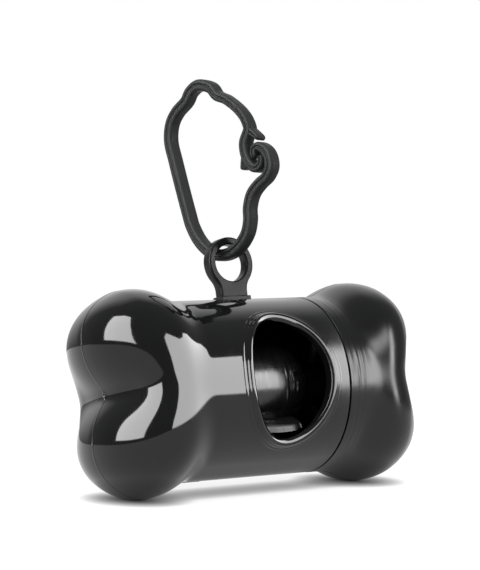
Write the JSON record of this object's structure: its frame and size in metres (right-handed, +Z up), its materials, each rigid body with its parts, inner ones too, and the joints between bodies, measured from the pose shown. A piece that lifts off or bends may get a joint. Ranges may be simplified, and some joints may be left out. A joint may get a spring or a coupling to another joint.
{
  "type": "dog waste bag dispenser",
  "caption": "Bone shaped dog waste bag dispenser with a front window, screw cap, bag roll on a core and a strap clip through the eyelet.",
  "frame": {"origin": "on the surface the dispenser rests on, under the middle of the bone", "axes": "+X along the barrel to the screw cap, -Y towards the front window, +Z up through the eyelet and the clip"},
  "size_m": [0.0818, 0.043, 0.0944],
  "materials": {
    "housing": "glossy injection-moulded black plastic",
    "core": "plain dark grey tube",
    "film": "thin black film, wound, softly creased",
    "strap": "satin charcoal flexible plastic"
  },
  "bodies": {
    "barrel": {"barrel_shell": "housing"},
    "core": {"roll_core": "core"},
    "cap": {"screw_cap": "housing"},
    "roll": {"bag_roll": "film"},
    "clip": {"strap_clip": "strap"}
  },
  "joints": [
    {"name": "cap_travel", "type": "slide", "parent": "barrel", "child": "core", "axis": [1, 0, 0], "range_m": [0, 0.0045]},
    {"name": "cap_turn", "type": "hinge", "parent": "core", "child": "cap", "pos_m": [0, 0, 0.0229], "axis": [1, 0, 0], "range_deg": [0, 540]},
    {"name": "roll_spin", "type": "hinge", "parent": "core", "child": "roll", "pos_m": [0, 0, 0.0229], "axis": [1, 0, 0], "continuous": true},
    {"name": "clip_swing", "type": "hinge", "parent": "barrel", "child": "clip", "pos_m": [-0.0004, 0, 0.05335], "axis": [0.2419, -0.9703, 0], "range_deg": [-95, 95]}
  ],
  "couplings": [
    {"joint": "cap_travel", "follows": "cap_turn", "m_per_rad": 0.000477}
  ]
}
